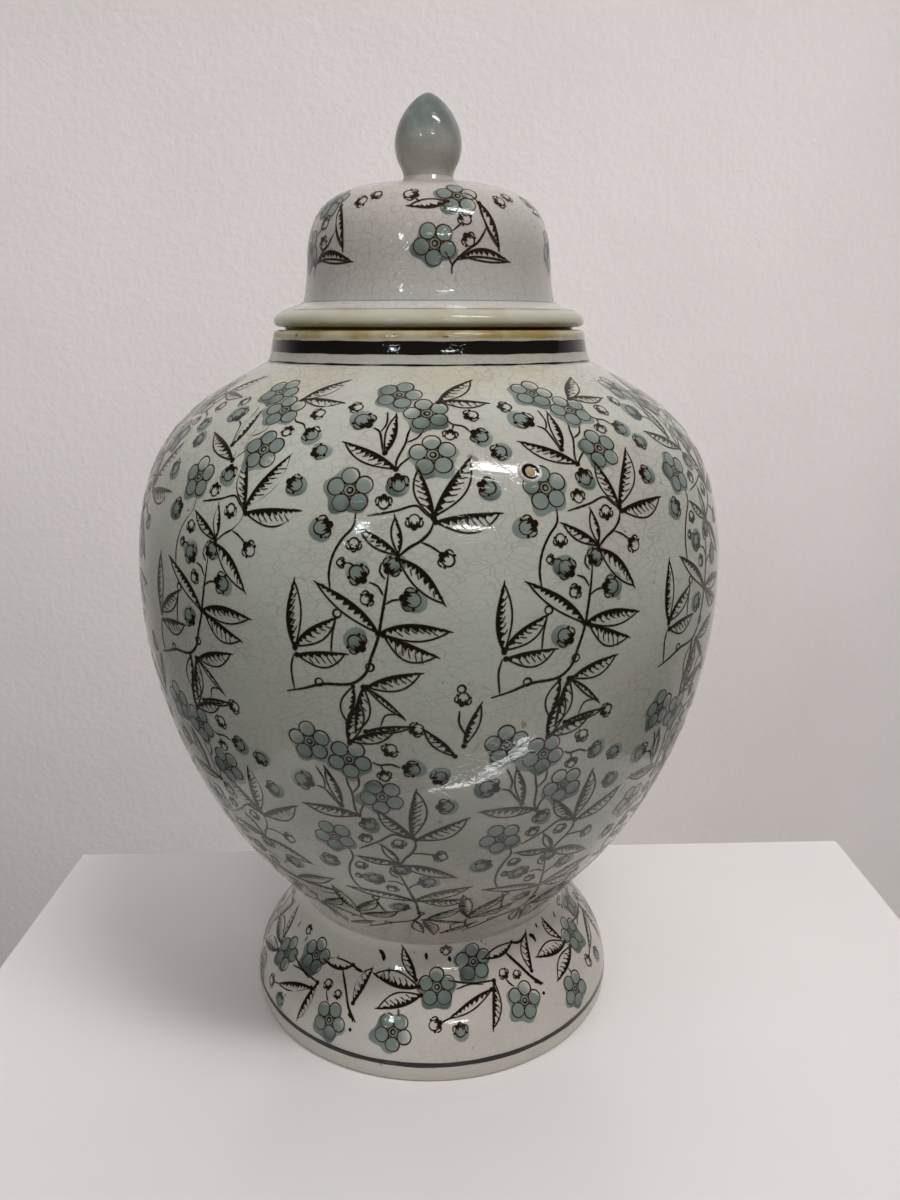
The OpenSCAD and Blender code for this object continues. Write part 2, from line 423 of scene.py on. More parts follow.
# Positions are mm round the surface from the sprig's front and mm down it. A blossom is (x, s, turn);
# a bud (x, s, radius, calyx angle, tinted); a leaf (base x, s, tip x, s, heavy bow, thin pouch);
# a stem (width, points); a knot (x, s).
BELLY_SPRIG = {
    "blossoms": [(-13, 15.7, 18), (-1, 24.5, -15), (1, 40, -5), (-24, 51, -5)],
    "buds": [
        (-24, 28, 3.3, 45, True), (-9.5, 48.5, 2.7, -100, True), (-31, 61.5, 2.9, -20, True),
        (-20, 74, 2.9, 45, True), (-10.5, 71.5, 2.6, 140, True), (-5.5, 80.5, 3.0, 190, True),
        (-20.5, 93.3, 2.9, 40, True), (17, 33.5, 2.7, -140, True), (17, 50, 2.7, -160, True),
        (22.5, 39.5, 2.5, 150, True), (-13.5, 54, 2.1, -90, False), (-4.5, 59.5, 2.2, 90, False),
        (-21.5, 66, 2.0, 90, False), (-25, 71, 1.3, 0, False), (-17.5, 80.5, 2.0, -30, False),
        (4.5, 69.5, 2.4, -140, False), (15.5, 25.5, 2.3, 150, False), (7, 33, 2.0, -80, False),
        (30, 22, 2.2, 180, False),
    ],
    "leaves": [
        (3.5, 19.5, 19.5, 8.5, 2.0, 2.6), (4, 19, 23, 20, 1.0, 2.6), (-14.5, 39.5, -12.5, 25.5, -1.7, 1.4),
        (-10.5, 44.5, -28.5, 36.3, -1.5, 2.6), (1, 58.5, -3.5, 44.5, -0.9, 3.0),
        (1, 58, 12.5, 41.5, 1.3, 3.8),
        (1.5, 59.5, 20, 57.5, 0.9, 4.2), (-9, 68.5, -20, 61.5, -1.0, 1.9), (-9, 68, -10, 58.5, -1.4, 1.4),
        (-9, 69.5, 3.5, 81.5, 2.6, 2.0), (-14.5, 90, -32, 77, -2.3, 1.6), (-14, 90, 5, 89.5, 2.4, 2.5),
        (-13, 90.5, 1.5, 96.5, 0.4, 4.4), (-39, 96, -39, 77, 2.3, 2.2), (-39, 95.5, -26.5, 86.5, 1.7, 2.9),
        (-38.5, 98, -24, 96.5, 0.8, 3.9), (-18, 106, -3, 101.5, 1.4, 3.2), (-22, 106, -24.5, 117, 1.3, 2.6),
        (-19, 106, -22, 120, -1.0, 3.2), (-18, 106.5, -8, 115, 0.9, 0.7), (-19, 120, -5.5, 118, 0.9, 1.2),
    ],
    "stems": [
        (0.70, [(-42.5, 109.5), (-37, 108), (-31, 106), (-24, 105.5), (-21, 104.5), (-18, 101.5),
               (-16.5, 97), (-15, 93), (-14.2, 90), (-13.5, 86), (-12.8, 82), (-12, 77), (-11.5, 73)]),
        (0.48, [(-39.5, 98), (-40.5, 102), (-40, 108.5)]),
        (0.43, [(-28, 96.5), (-27.5, 91), (-26.5, 87)]),
        (0.57, [(-28, 79), (-28.5, 74), (-27.5, 69), (-25, 64.5), (-22, 61), (-21.5, 57)]),
        (0.48, [(-18, 58), (-10, 56.5), (-4, 55), (-1.5, 57), (1, 59)]),
        (0.65, [(1, 59.5), (0, 62), (-2.5, 64.5), (-6, 66.5), (-9, 69)]),
        (0.43, [(-2.5, 65), (0, 66), (3, 68)]),
        (0.43, [(-12.5, 82), (-10.5, 80.8), (-8, 80.5)]),
        (0.43, [(-13, 79.5), (-14.5, 77), (-17, 76)]),
        (0.43, [(-12.5, 75), (-14, 73), (-13.5, 70.5)]),
        (0.39, [(-24, 71), (-22.5, 71), (-21, 72)]),
        (0.52, [(-10.5, 45), (-10.5, 42), (-8, 36), (-7.5, 33), (-6.5, 30)]),
        (0.43, [(-7.5, 35.8), (-4, 34), (-2, 31)]),
        (0.43, [(-10.5, 45), (-9, 43), (-6, 40.5)]),
        (0.52, [(-15, 39.5), (-16, 36), (-17.5, 32), (-20, 30.5)]),
        (0.43, [(-17, 32), (-15.5, 29), (-16, 24)]),
        (0.48, [(6.5, 27.5), (8, 29), (12, 30), (14, 32)]),
        (0.43, [(8.5, 29), (8, 31)]),
        (0.35, [(-14.5, 118), (-13, 114.5), (-9, 114)]),
    ],
    "knots": [(-17, 100), (-32, 105.5), (-26, 85)],
}
FILLER_SPRIG = {
    "blossoms": [],
    "buds": [(9, 109.5, 2.2, 105, False)],
    "leaves": [(9.5, 124.5, 14, 111.5, 1.2, 1.8), (7, 128, -2, 119, -1.0, 2.0)],
    "stems": [(0.5, [(8, 113), (8, 117), (10, 121)])],
    "knots": [(8.5, 106.3)],
}
FOOT_SPRIG = {
    "blossoms": [(-14.7, 30.1, 36), (1.8, 14.7, 0), (19.3, 7.5, 0), (37.8, 24.9, 22)],
    "buds": [
        (1.0, 27.0, 2.4, -20, False), (10.2, 29.2, 2.5, -90, True), (32.4, 14.0, 1.9, 60, False),
        (38.4, 15.8, 1.6, 80, False), (6.5, 2.2, 1.9, -90, False),
    ],
    "leaves": [
        (-5.9, 14.7, -26.3, 12.4, 1.8, 3.4), (-7.4, 12.4, -14.3, 1.5, -0.9, 2.2),
        (-4.9, 17.4, -21.7, 23.2, 1.5, 3.4),
        (25, 18, 6.6, 25.1, -1.5, 1.6), (27, 15.3, 22.6, 30.5, -0.6, 2.6), (40.7, 4.6, 25, 7.2, 2.2, 1.5),
        (46, 16.7, 50.5, 3.6, -0.6, 3.0),
    ],
    "stems": [
        (0.9, [(40.7, 4.6), (43, 5.4), (46, 5.6), (50.5, 3.8)]),
        (1.0, [(36, 7), (41, 13), (45, 19), (48.8, 22.6)]),
        (0.5, [(6.8, 12.7), (16.3, 14.4), (28, 15.2)]),
        (0.4, [(10, 15.8), (16.3, 14.8), (22, 15.6)]),
        (0.5, [(32.6, 15.6), (33.5, 17.5), (35.3, 19.3)]),
        (0.5, [(3.2, 26.4), (6.8, 25)]),
        (0.6, [(-13.6, 22.4), (-13.2, 24.6)]),
        (1.3, [(-26.3, 3.8), (-24, 5.2), (-23.4, 7.4)]),
        (1.2, [(-3.2, 3.0), (-2.8, 5.4)]),
        (1.3, [(7.8, 4.6), (8.4, 6.4)]),
        (1.1, [(58, 2.6), (59, 4.4)]),
        (1.3, [(45.2, 20.6), (47, 21.2), (47.8, 22.6)]),
    ],
    "knots": [],
    "spots": [(47.2, 25.5, 0.55), (46.0, 20.6, 0.8)],
}
DOME_SPRIG = {
    "blossoms": [(1.9, 44.1, -30), (10.6, 28.4, 0)],
    "buds": [
        (12.6, 42.8, 2.2, -130, False), (11.8, 36.3, 2.3, -135, False), (27.2, 29.8, 2.3, 160, False),
        (-6.3, 27.7, 2.5, 20, False), (-20, 27.5, 2.0, 120, False),
    ],
    "leaves": [
        (10.5, 47.8, 26.5, 48.9, 2.9, 0.9), (18, 31, 23.2, 45, 1.6, 1.7), (6.6, 30.7, -6.4, 32.4, 1.7, 1.7),
    ],
    "stems": [
        (0.6, [(7, 53), (7.2, 50.5), (8.6, 48.7), (12.5, 45.6), (15.5, 43.7), (18, 40.6), (19.3, 38.6)]),
        (0.45, [(7.2, 50.5), (6, 48), (5, 46.4)]),
        (0.5, [(8.9, 48.8), (14, 47.9), (20, 48.1), (26.5, 49.1)]),
        (0.5, [(17.6, 30.4), (18, 35), (20, 40), (23, 44.5), (22.9, 46)]),
        (0.38, [(7.6, 40.3), (9.4, 38.9), (11, 37.6)]),
        (0.38, [(-5, 29), (-3, 31.2)]),
        (0.34, [(13.4, 26.8), (16, 28), (17.6, 30.6)]),
    ],
    "knots": [],
}


def draw(sprig, ink, colour, warp, turn=0.0):
    """Draws a sprig, each of its points moved by warp and its flowers turned."""
    for x, s, lean in sprig["blossoms"]:
        blossom(ink, colour, warp(x, s), lean + turn)
    for x, s, radius, calyx, tinted in sprig["buds"]:
        bud(ink, colour, warp(x, s), radius, calyx + turn, tinted)
    for x0, s0, x1, s1, bow, pouch in sprig["leaves"]:
        leaf(ink, warp(x0, s0), warp(x1, s1), bow, pouch)
    for width, points in sprig["stems"]:
        stroke(ink, [warp(x, s) for x, s in points], width)
    for x, s in sprig["knots"]:
        knot(ink, warp(x, s))
    for x, s, radius in sprig.get("spots", []):
        dot(ink, warp(x, s), radius)


def decorate_belly(surface, ink, colour):
    """Eleven columns round the belly, each a sprig over the same sprig leaning to the left."""
    columns = 11
    pitch = 2 * math.pi * surface.ref / columns
    lean, size, upper_hub, lower_hub = -22.8, 1.02, (-14, 90), (-7.5, 195.4)

    for column in range(columns):
        start = column * pitch

        def upper(x, s):
            return start + x, s

        def lower(x, s):
            true_x = (x - upper_hub[0]) * surface.radius(s) / surface.ref
            u, v = rotated(true_x, s - upper_hub[1], lean)
            down = lower_hub[1] + size * v
            return start + lower_hub[0] + size * u * surface.ref / surface.radius(down), down

        draw(BELLY_SPRIG, ink, colour, upper)
        draw(BELLY_SPRIG, ink, colour, lower, lean)
        if column % 3 == 0:
            draw(FILLER_SPRIG, ink, colour, upper)


def decorate_foot(surface, ink, colour):
    """Six sprigs from one long transfer, which starts at the front and sinks a little as it goes round."""
    for start, drop in ((0, 0), (78.5, 1.2), (151, 3), (223.3, 4.5), (295.5, 6), (367.6, 6.9)):
        draw(FOOT_SPRIG, ink, colour, lambda x, s: (start + x, s + drop))


def decorate_dome(surface, ink, colour):
    """Five sprigs round the dome of the lid."""
    sprigs = 5
    for k in range(sprigs):
        start = k * 2 * math.pi * surface.ref / sprigs
        draw(DOME_SPRIG, ink, colour, lambda x, s: (start + x, s))


# ---------------------------------------------------------------- materials

class Nodes:
    """Short calls for building one material's node tree."""

    def __init__(self, name):
        self.material = bpy.data.materials.new(name)
        self.material.use_nodes = True
        self.tree = self.material.node_tree
        self.shader = self.tree.nodes["Principled BSDF"]
        self.where = self.add("ShaderNodeTexCoord").outputs["Object"]

    def add(self, kind, **settings):
        node = self.tree.nodes.new(kind)
        for key, value in settings.items():
            setattr(node, key, value)
        return node

    def link(self, source, target):
        self.tree.links.new(source, target)

    def put(self, value, socket):
        """Links a socket, or sets a plain value."""
        if isinstance(value, bpy.types.NodeSocket):
            self.link(value, socket)
        else:
            socket.default_value = value

    def scaled(self, factors):
        node = self.add("ShaderNodeMapping")
        node.inputs["Scale"].default_value = factors
        self.link(self.where, node.inputs["Vector"])
        return node.outputs["Vector"]

    def noise(self, vector, scale, detail=3.0, rough=0.5):
        node = self.add("ShaderNodeTexNoise")
        self.link(vector, node.inputs["Vector"])
        node.inputs["Scale"].default_value = scale
        node.inputs["Detail"].default_value = detail
        node.inputs["Roughness"].default_value = rough
        return node.outputs["Fac"]

    def math(self, operation, a, b=0.0, clamp=False):
        node = self.add("ShaderNodeMath", operation=operation, use_clamp=clamp)
        self.put(a, node.inputs[0])
        self.put(b, node.inputs[1])
        return node.outputs[0]

    def span(self, value, low, high, to_low=0.0, to_high=1.0):
        """value from low..high mapped smoothly to to_low..to_high."""
        node = self.add("ShaderNodeMapRange", interpolation_type="SMOOTHSTEP")
        self.link(value, node.inputs["Value"])
        for key, number in zip(("From Min", "From Max", "To Min", "To Max"), (low, high, to_low, to_high)):
            node.inputs[key].default_value = number
        return node.outputs[0]

    def mix(self, share, a, b):
        node = self.add("ShaderNodeMix", data_type="RGBA")
        self.put(share, node.inputs["Factor"])
        self.put(a, node.inputs["A"])
        self.put(b, node.inputs["B"])
        return node.outputs["Result"]

    def moved(self, vector, amount, scale):
        """vector pushed about by noise, so that straight cracks wander."""
        wander = self.add("ShaderNodeTexNoise")
        self.link(vector, wander.inputs["Vector"])
        wander.inputs["Scale"].default_value = scale
        centred = self.add("ShaderNodeVectorMath", operation="SUBTRACT")
        self.link(wander.outputs["Color"], centred.inputs[0])
        centred.inputs[1].default_value = (0.5, 0.5, 0.5)
        pushed = self.add("ShaderNodeVectorMath", operation="MULTIPLY_ADD")
        self.link(centred.outputs["Vector"], pushed.inputs[0])
        pushed.inputs[1].default_value = (amount, amount, amount)
        self.link(vector, pushed.inputs[2])
        return pushed.outputs["Vector"]

    def cracks(self, vector, cell, width):
        """1 along the joints of cells about cell metres wide, 0 elsewhere."""
        node = self.add("ShaderNodeTexVoronoi", feature="DISTANCE_TO_EDGE")
        self.link(vector, node.inputs["Vector"])
        node.inputs["Scale"].default_value = 1 / cell
        return self.span(node.outputs["Distance"], 0.0, width, 1.0, 0.0)

    def height(self):
        """Height above the stand, in metres."""
        node = self.add("ShaderNodeSeparateXYZ")
        self.link(self.where, node.inputs[0])
        return node.outputs["Z"]

    def bump(self, height, distance, strength=1.0, under=None):
        node = self.add("ShaderNodeBump")
        node.inputs["Strength"].default_value = strength
        node.inputs["Distance"].default_value = distance
        self.link(height, node.inputs["Height"])
        if under is not None:
            self.link(under, node.inputs["Normal"])
        return node.outputs["Normal"]


def glaze_relief(n, crackle):
    """Slight waves of the thrown wall, the skin of the glaze and its crazing."""
    waves = n.bump(n.noise(n.scaled((1, 1, 2.2)), 36, detail=1.0), 0.0006, 0.30)
    skin = n.bump(n.noise(n.where, 420, detail=2.0), 0.00005, 0.5, waves)
    return n.bump(n.math("SUBTRACT", 1.0, crackle), 0.00003, 0.5, skin)


def glaze_crackle(n, flatten, cell, wide):
    """A fine net of crazing with a coarser one over it, both stronger in some patches."""
    wandering = n.moved(n.scaled((1, 1, flatten)), 0.0016, 320)
    fine = n.cracks(wandering, cell, 0.060)
    coarse = n.cracks(n.moved(n.scaled((1, 1, flatten)), 0.004, 120), 0.0125, 0.026)
    patches = n.span(n.noise(n.where, 34), 0.36, 0.62, 0.45, 1.0)
    return n.math("MULTIPLY", n.math("MAXIMUM", fine, n.math("MULTIPLY", coarse, wide)), patches)


def glazed(n, kind):
    """Colour and crazing of one kind of glaze: mottled, stained brown in bands, darker along the crazing, and
    darker low down where the kind asks for painted shade.
    """
    crackle = glaze_crackle(n, *kind["net"])
    mottled = n.mix(n.span(n.noise(n.where, 16), 0.35, 0.68), kind["light"], kind["warm"])
    height = n.height()
    for middle, reach, colour, most in kind["stains"]:
        near = n.span(n.math("ABSOLUTE", n.math("SUBTRACT", height, middle)), 0.0, reach, 1.0, 0.0)
        blotch = n.span(n.noise(n.where, 30, detail=5.0), 0.42, 0.68, 0.0, most)
        mottled = n.mix(n.math("MULTIPLY", near, blotch), mottled, colour)
    # painted shade: below this height the glaze is darkened, where the lower belly faces down
    if "shade_below" in kind:
        low = n.span(height, kind["shade_below"] - 0.02, kind["shade_below"] + 0.01, 0.14, 0.0)
        mottled = n.mix(low, mottled, PAINTED_SHADE)
    specks = n.span(n.noise(n.where, 210, detail=1.0), 0.755, 0.785, 0.0, 0.7)
    mottled = n.mix(specks, mottled, SPECK)
    return n.mix(n.math("MULTIPLY", crackle, kind["crazed"]), mottled, CRACK), crackle


def finish_glaze(n, colour, crackle, gloss=0.035):
    """Joins colour, gloss and relief to the shader."""
    n.put(colour, n.shader.inputs["Base Color"])
    smear = n.span(n.noise(n.where, 60, detail=4.0), 0.3, 0.75, gloss * 0.7, gloss * 1.8)
    n.put(smear, n.shader.inputs["Roughness"])
    n.put(glaze_relief(n, crackle), n.shader.inputs["Normal"])
    n.shader.inputs["IOR"].default_value = 1.52
    return n.material


def zoned(n, colour, zones):
    """colour with other colours painted over it between pairs of heights, in metres, with soft edges."""
    wander = n.math("MULTIPLY", n.math("SUBTRACT", n.noise(n.where, 140), 0.5), 0.0016)
    height = n.math("ADD", n.height(), wander)
    for low, high, soft, paint, most in zones:
        above = n.span(height, low - soft, low + soft)
        below = n.span(height, high - soft, high + soft, most, 0.0)
        colour = n.mix(n.math("MULTIPLY", above, below), colour, paint)
    return colour


CRACK = (0.235, 0.215, 0.180, 1)
SPECK = (0.220, 0.150, 0.080, 1)
STAIN = (0.470, 0.390, 0.220, 1)
ROSY = (0.520, 0.460, 0.410, 1)
# the next colour is painted shade, mixed into the glaze of the lower belly
PAINTED_SHADE = (0.105, 0.105, 0.095, 1)
WASH_THIN = (0.198, 0.237, 0.213, 1)
WASH_POOLED = (0.074, 0.099, 0.085, 1)

# light and warm are the two tones of the mottling; net holds the crazing's flattening, cell size in
# metres and share of coarse cracks; crazed is how dark the crazing is; stains are (height, reach,
# colour, strength); below the height under the last key the glaze is darkened a little, painted shade
# on the downward-facing lower belly; heights in metres
BELLY_GLAZE = {
    "light": (0.510, 0.515, 0.448, 1), "warm": (0.455, 0.430, 0.375, 1),
    "net": (2.0, 0.0044, 0.8), "crazed": 0.45,
    "stains": [(0.241, 0.012, STAIN, 0.4), (0.052, 0.060, ROSY, 0.9)],
    "shade_below": 0.185,
}
FOOT_GLAZE = {
    "light": (0.575, 0.538, 0.486, 1), "warm": (0.535, 0.490, 0.438, 1),
    "net": (2.0, 0.0036, 0.3), "crazed": 0.20,
    "stains": [(0.047, 0.010, STAIN, 0.3)],
}
DOME_GLAZE = {
    "light": (0.515, 0.484, 0.446, 1), "warm": (0.480, 0.437, 0.398, 1),
    "net": (1.1, 0.0030, 0.3), "crazed": 0.45,
    "stains": [],
}
# painted shade: the neck's glaze tones are darker than the belly's, for the shadow under the lid's brim
SHADED_NECK_GLAZE = {
    "light": (0.450, 0.438, 0.392, 1), "warm": (0.410, 0.385, 0.336, 1),
    "net": (1.4, 0.0044, 0.8), "crazed": 0.35,
    "stains": [(0.249, 0.006, STAIN, 0.4)],
}
BUD_GLAZE = {
    "light": (0.430, 0.402, 0.366, 1), "warm": (0.375, 0.350, 0.318, 1),
    "net": (1.2, 0.0034, 0.3), "crazed": 0.40,
    "stains": [],
}


def body_glaze(name, kind):
    n = Nodes(name)
    return finish_glaze(n, *glazed(n, kind))


def wash_glaze(name, kind):
    """The same glaze with a grey-green colour in it, as strong as the piece's wash attribute says."""
    n = Nodes(name)
    plain, crackle = glazed(n, kind)
    attribute = n.add("ShaderNodeAttribute", attribute_name="wash")
    uneven = n.math("MULTIPLY", n.math("SUBTRACT", n.noise(n.where, 170, detail=3.0), 0.5), 0.35)
    strength = n.math("ADD", attribute.outputs["Fac"], uneven)
    tint = n.mix(n.span(strength, 0.50, 0.98), WASH_THIN, WASH_POOLED)
    return finish_glaze(n, n.mix(n.span(attribute.outputs["Fac"], 0.0, 0.4), plain, tint), crackle)


def ink_glaze(name, colour):
    """Printed line under the glaze: one plain dark colour with the glaze's own gloss and relief."""
    n = Nodes(name)
    crackle = glaze_crackle(n, *BELLY_GLAZE["net"])
    return finish_glaze(n, colour, crackle)


OCHRE = (0.330, 0.240, 0.090, 1)
CREAM = (0.480, 0.460, 0.370, 1)
BLUISH = (0.330, 0.365, 0.370, 1)


def neck_glaze(name):
    """White glaze, toned darker as painted shade under the lid's brim, with a bare, yellowed rim that is
    stained brown in places.
    """
    n = Nodes(name)
    plain, crackle = glazed(n, SHADED_NECK_GLAZE)
    dirt = n.span(n.noise(n.where, 75, detail=5.0), 0.40, 0.62)
    rim = n.mix(dirt, (0.450, 0.400, 0.260, 1), OCHRE)
    chips = n.span(n.noise(n.where, 330, detail=2.0), 0.66, 0.70)
    rim = n.mix(chips, rim, (0.130, 0.085, 0.040, 1))
    return finish_glaze(n, zoned(n, plain, [(0.2525, 0.3, 0.0003, rim, 1.0)]), crackle)


def lid_glaze(name):
    """White dome over a cream brim, with bluish glaze pooled at the dome's foot and ochre under the brim."""
    n = Nodes(name)
    plain, crackle = glazed(n, DOME_GLAZE)
    dirt = n.span(n.noise(n.where, 60, detail=5.0), 0.46, 0.68, 0.0, 0.75)
    brim = n.mix(dirt, CREAM, (0.430, 0.390, 0.270, 1))
    zones = [
        (0.2, 0.2618, 0.0003, brim, 1.0), (0.2, 0.2570, 0.0003, OCHRE, 0.8),
        (0.2635, 0.2668, 0.0012, BLUISH, 0.30),
    ]
    return finish_glaze(n, zoned(n, plain, zones), crackle)


def pit_clay(name):
    """Brown body showing where the glaze has burst."""
    n = Nodes(name)
    n.put(n.mix(n.noise(n.where, 2600, detail=3.0), (0.300, 0.200, 0.110, 1), (0.520, 0.400, 0.260, 1)),
          n.shader.inputs["Base Color"])
    n.put(n.span(n.noise(n.where, 1500), 0.3, 0.7, 0.5, 0.8), n.shader.inputs["Roughness"])
    n.put(n.bump(n.noise(n.where, 2600), 0.0002, 0.9), n.shader.inputs["Normal"])
    return n.material


def celadon_glaze(name, low, high):
    """Grey-green at the tip of the bud, run thin and pale towards its neck."""
    n = Nodes(name)
    pale, crackle = glazed(n, BUD_GLAZE)
    rise = n.math("ADD", n.height(), n.math("MULTIPLY", n.noise(n.where, 130, detail=4.0), 0.010))
    patchy = n.span(n.noise(n.where, 105, detail=3.0), 0.38, 0.62)
    green = n.mix(patchy, (0.132, 0.152, 0.140, 1), (0.222, 0.246, 0.228, 1))
    share = n.span(rise, low + 0.35 * (high - low), low + 0.95 * (high - low))
    return finish_glaze(n, n.mix(share, pale, green), crackle)


def bare_clay(name):
    """Unglazed biscuit: matte, grainy and a little iron-stained."""
    n = Nodes(name)
    grain = n.noise(n.where, 900, detail=6.0, rough=0.7)
    blotch = n.span(n.noise(n.where, 45, detail=4.0), 0.35, 0.7)
    base = n.mix(blotch, (0.58, 0.47, 0.30, 1), (0.42, 0.31, 0.17, 1))
    speck = n.span(n.noise(n.where, 480, detail=2.0), 0.66, 0.74)
    n.put(n.mix(speck, base, (0.20, 0.12, 0.06, 1)), n.shader.inputs["Base Color"])
    n.put(n.span(grain, 0.2, 0.8, 0.72, 0.95), n.shader.inputs["Roughness"])
    n.put(n.bump(grain, 0.00012, 0.8), n.shader.inputs["Normal"])
    return n.material


def painted(name, colour, rough, relief):
    """Painted wall or plinth."""
    n = Nodes(name)
    soft = n.noise(n.where, 7, detail=3.0)
    n.put(n.mix(n.span(soft, 0.3, 0.7), colour, tuple(0.97 * c for c in colour[:3]) + (1,)),
          n.shader.inputs["Base Color"])
    n.put(n.span(n.noise(n.where, 25), 0.3, 0.7, rough * 0.8, rough * 1.2), n.shader.inputs["Roughness"])
    n.put(n.bump(n.noise(n.where, 150, detail=3.0), relief, 0.6), n.shader.inputs["Normal"])
    return n.material


# ---------------------------------------------------------------- the jar

# rings, as (r, z) in mm, at which an outline starts or one of its zones ends
FOOT_EDGE = (71, 4)
WAIST = (52.5, 43)
SHOULDER_TOP = (56.4, 244.5)
RIM = (52.3, 255)
RING_CORNER = (46.5, 255)
BRIM_EDGE = (53.9, 257.3)
DOME_BASE = (43.1, 264)
CROWN = (9.2, 303.3)
BUD_FOOT = (9, 303.3)


def build_vessel(materials):
    """Foot, belly and neck, turned on the outlines of their CAD nodes."""
    foot = outline("pedestal_foot", WAIST, (53, 40))
    belly = outline("vessel_belly", WAIST, (53, 45))
    neck = outline("neck_collar", SHOULDER_TOP, (56, 246))
    pieces = {
        "foot_shell": (foot, "pedestal_foot", materials["foot"], "body_glaze", True),
        "belly_shell": (belly, "vessel_belly", materials["body"], "body_glaze", False),
        "neck_shell": (neck, "neck_collar", materials["neck"], "neck_glaze", True),
    }
    for name, (points, node, material, slot, closed) in pieces.items():
        path = smooth_path(points + points[:1] if closed else points, 2.0)
        made = turned(name, path[:-1] if closed else path, material, "jar", slot, closed)
        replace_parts(made, node)
    return foot, belly, neck


def build_lid(materials):
    """Lid shell, locating ring and finial, turned on the outlines of their CAD nodes."""
    dome = outline("lid_dome", CROWN, (12, 302))
    ring = outline("locating_ring", RING_CORNER, (46.5, 245))
    bud_line = outline("finial", BUD_FOOT, (8.7, 304))
    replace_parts(turned("lid_shell", smooth_path(dome, 1.6), materials["lid"], "lid", "lid_glaze"), "lid_dome")
    ring_path = smooth_path(ring + ring[:1], 3.0)[:-1]
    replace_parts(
        turned("locating_shell", ring_path, materials["clay"], "lid", "bare_clay", True), "locating_ring"
    )
    top = smooth_path(bud_line, 0.7)
    top[-1, 0] = 0.02
    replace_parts(turned("finial_bud", top, materials["celadon"], "lid", "finial_glaze"), "finial")
    return dome


def surface_from(points, first, last, ref):
    """The part of an outline between two of its points, from the upper one down."""
    near = [min(range(len(points)), key=lambda i: math.dist(points[i], p)) for p in (first, last)]
    low, high = sorted(near)
    path = smooth_path(points[low:high + 1], 0.5)
    return Surface(path if near[0] < near[1] else path[::-1], ref)


def printed(name, surface, body, slot, decorate, materials):
    """A printed layer: washes of colour under ink lines with a paler edge."""
    colour, ink = Layer(surface, WASH_LIFT), Layer(surface, INK_LIFT)
    halo = Layer(surface, HALO_LIFT, HALO_SPREAD)
    decorate(surface, ink, colour)
    decorate(surface, halo, None)
    colour.piece(name + "_wash", materials[name + "_wash"], body, slot)
    halo.piece(name + "_halo", materials["halo"], body, slot)
    ink.piece(name + "_ink", materials[name + "_ink"], body, slot)


def lines(name, surface, spans, ragged, material, body, slot):
    """Painted lines right round a surface, each between two depths in mm."""
    layer = Layer(surface, LINE_LIFT)
    for low, high in spans:
        band(layer, low, high, ragged)
    layer.piece(name, material, body, slot)


def glaze_pit(surface, materials):
    """A burst bubble in the glaze beside a blossom: a raised glassy lip round bare brown clay, with a dark ring
    between them as painted shade of the crater's hollow.
    """
    centre = (31.5, 46)
    rim = [(3.6, 0.02), (3.3, 0.34), (3.0, 0.46), (2.7, 0.40), (2.45, 0.28)]
    lip = [(2.45, 0.28), (2.1, 0.20), (1.7, 0.15), (1.4, 0.14)]
    rough = [(1.4, 0.14), (1.0, 0.34), (0.5, 0.44), (0.02, 0.40)]
    # the inner ring is drawn in dark ink as painted shade of the crater's hollow, which is built raised
    parts = (("pit_rim", rim, "body"), ("pit_shaded_lip", lip, "ink"), ("pit_clay", rough, "pit"))
    layer = Layer(surface, 0)
    count = 28
    for name, rings, material in parts:
        verts, faces = [], []
        for radius, lift in rings:
            for a in angles(count):
                reach = radius * (1 + 0.05 * math.sin(2 * a + 1))
                spot = layer.shift(centre, reach * math.cos(a), reach * math.sin(a))
                verts.append(surface.at(*spot, lift)[0])
        for i in range(len(rings) - 1):
            for k in range(count):
                n = (k + 1) % count
                faces.append((i * count + k, i * count + n, (i + 1) * count + n, (i + 1) * count + k))
        piece_from(name, verts, faces, materials[material], "jar", "body_glaze")


